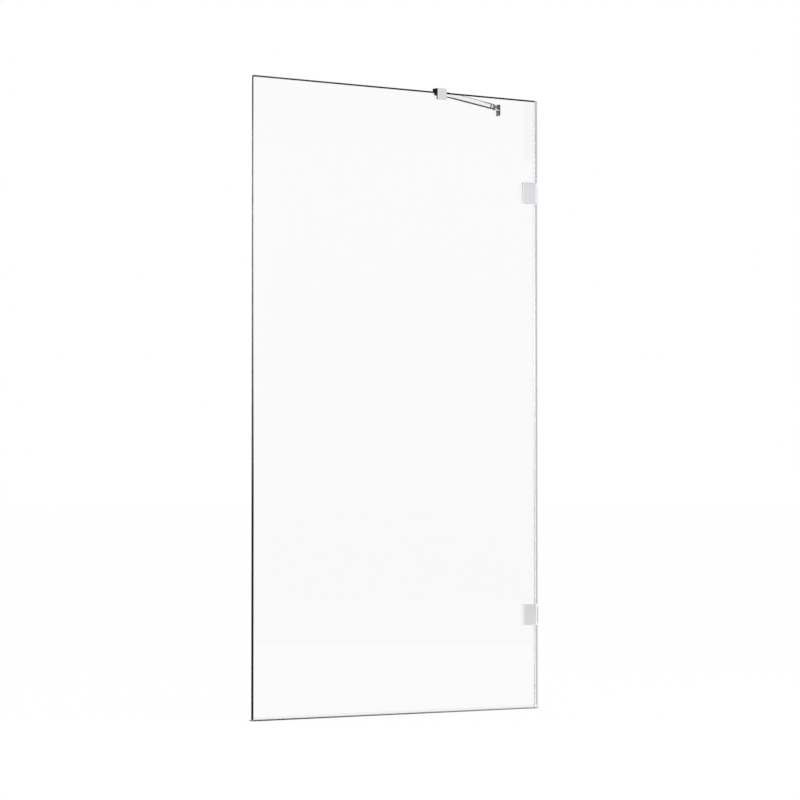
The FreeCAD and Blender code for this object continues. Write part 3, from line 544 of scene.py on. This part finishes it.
# Cards that only metal reflects, and the sheet's own shine doesn't: dark ones, which draw the dark
# sides of the chrome, and pale ones at the right for the flat faces of the clip and the plates.
# Each is its first colour at the floor and its second from card_fade metres up.
card_fade = 1.5
card_colours = {
    "black_card": ("#020203", "#232325"),
    "grey_card": ("#D2D4D2", "#F0F0F3"),
    "clip_card": ("#E6E6E8", "#E6E6E8"),
}
card_materials = {}
for name, (low_colour, high_colour) in card_colours.items():
    card_material, card_output = new_material(name)
    tree = card_material.node_tree
    place = add(tree, "ShaderNodeTexCoord", {}).outputs["Object"]
    apart = add(tree, "ShaderNodeSeparateXYZ", {"Vector": place})
    height = add(tree, "ShaderNodeMapRange",
                 {"Value": apart.outputs["Z"], "From Min": 0.0, "From Max": card_fade})
    shade = add(tree, "ShaderNodeMix",
                {"Factor": height.outputs["Result"], "A": linear(low_colour),
                 "B": linear(high_colour)}, data_type="RGBA")
    face = add(tree, "ShaderNodeEmission", {"Color": shade.outputs["Result"], "Strength": 1.0})
    unseen = add(tree, "ShaderNodeBsdfTransparent", {})
    path = add(tree, "ShaderNodeLightPath", {})
    reflected = add(tree, "ShaderNodeMath", {0: path.outputs["Glossy Depth"], 1: 0.5},
                    operation="GREATER_THAN")
    off_metal = add(tree, "ShaderNodeMath", {0: 1.0, 1: path.outputs["Is Singular Ray"]},
                    operation="SUBTRACT")
    past_glass = add(tree, "ShaderNodeMath", {0: path.outputs["Transmission Depth"], 1: 0.5},
                     operation="GREATER_THAN")
    not_off_glass = add(tree, "ShaderNodeMath", {0: off_metal.outputs[0], 1: past_glass.outputs[0]},
                        operation="MAXIMUM")
    mirrored = add(tree, "ShaderNodeMath", {0: reflected.outputs[0], 1: not_off_glass.outputs[0]},
                   operation="MULTIPLY")
    mixed = add(tree, "ShaderNodeMixShader",
                {0: mirrored.outputs[0], 1: unseen.outputs[0], 2: face.outputs[0]})
    tree.links.new(mixed.outputs[0], card_output.inputs["Surface"])
    card_materials[name] = card_material
# Name, colours, middle, width and height, and the way it faces.
cards = [
    ("card_left", "black_card", (-0.75, 1.35, 1.99), (1.8, 1.20), (0.61, -0.79, 0)),
    ("card_low", "black_card", (1.75, 1.38, 1.30), (1.9, 2.20), (-0.77, -0.64, 0)),
    ("card_foot", "black_card", (1.17, -0.77, 1.62), (0.26, 0.50), (-0.61, 0.79, 0)),
    ("card_clip", "clip_card", (1.93, -2.38, 1.79), (1.2, 0.40), (-0.61, 0.79, 0)),
    ("card_right", "grey_card", (2.6, -3.0, 1.5), (2.6, 3.0), (-0.61, 0.79, 0)),
]
for name, card_name, centre, size, facing in cards:
    bpy.ops.object.select_all(action="DESELECT")
    bpy.ops.mesh.primitive_plane_add(size=1, location=centre)
    card = bpy.context.object
    card.name = name
    card.scale = (*size, 1)
    card.rotation_euler = Vector(facing).to_track_quat("Z", "Y").to_euler()
    bpy.ops.object.transform_apply(location=True, rotation=True, scale=True)
    card.data.materials.append(card_materials[card_name])
    card.visible_camera = False
    card.visible_diffuse = False
    card.visible_volume_scatter = False
    card.visible_shadow = False

# Name, place, side of the square, power in watts. Both are aimed at the middle of the sheet.
aim = Vector((0, 0, 0.7))
lamps = [
    ("key", (-2.5, -3.5, 3.6), 2.5, 60),
    ("fill", (2.5, -3.0, 2.4), 2.0, 25),
]
for name, centre, size, power in lamps:
    lamp_data = bpy.data.lights.new(name, "AREA")
    lamp_data.size = size
    lamp_data.energy = power
    lamp = bpy.data.objects.new(name, lamp_data)
    bpy.context.scene.collection.objects.link(lamp)
    lamp.location = centre
    lamp.rotation_euler = (Vector(centre) - aim).to_track_quat("Z", "Y").to_euler()
    lamp.visible_glossy = False
    lamp.visible_transmission = False
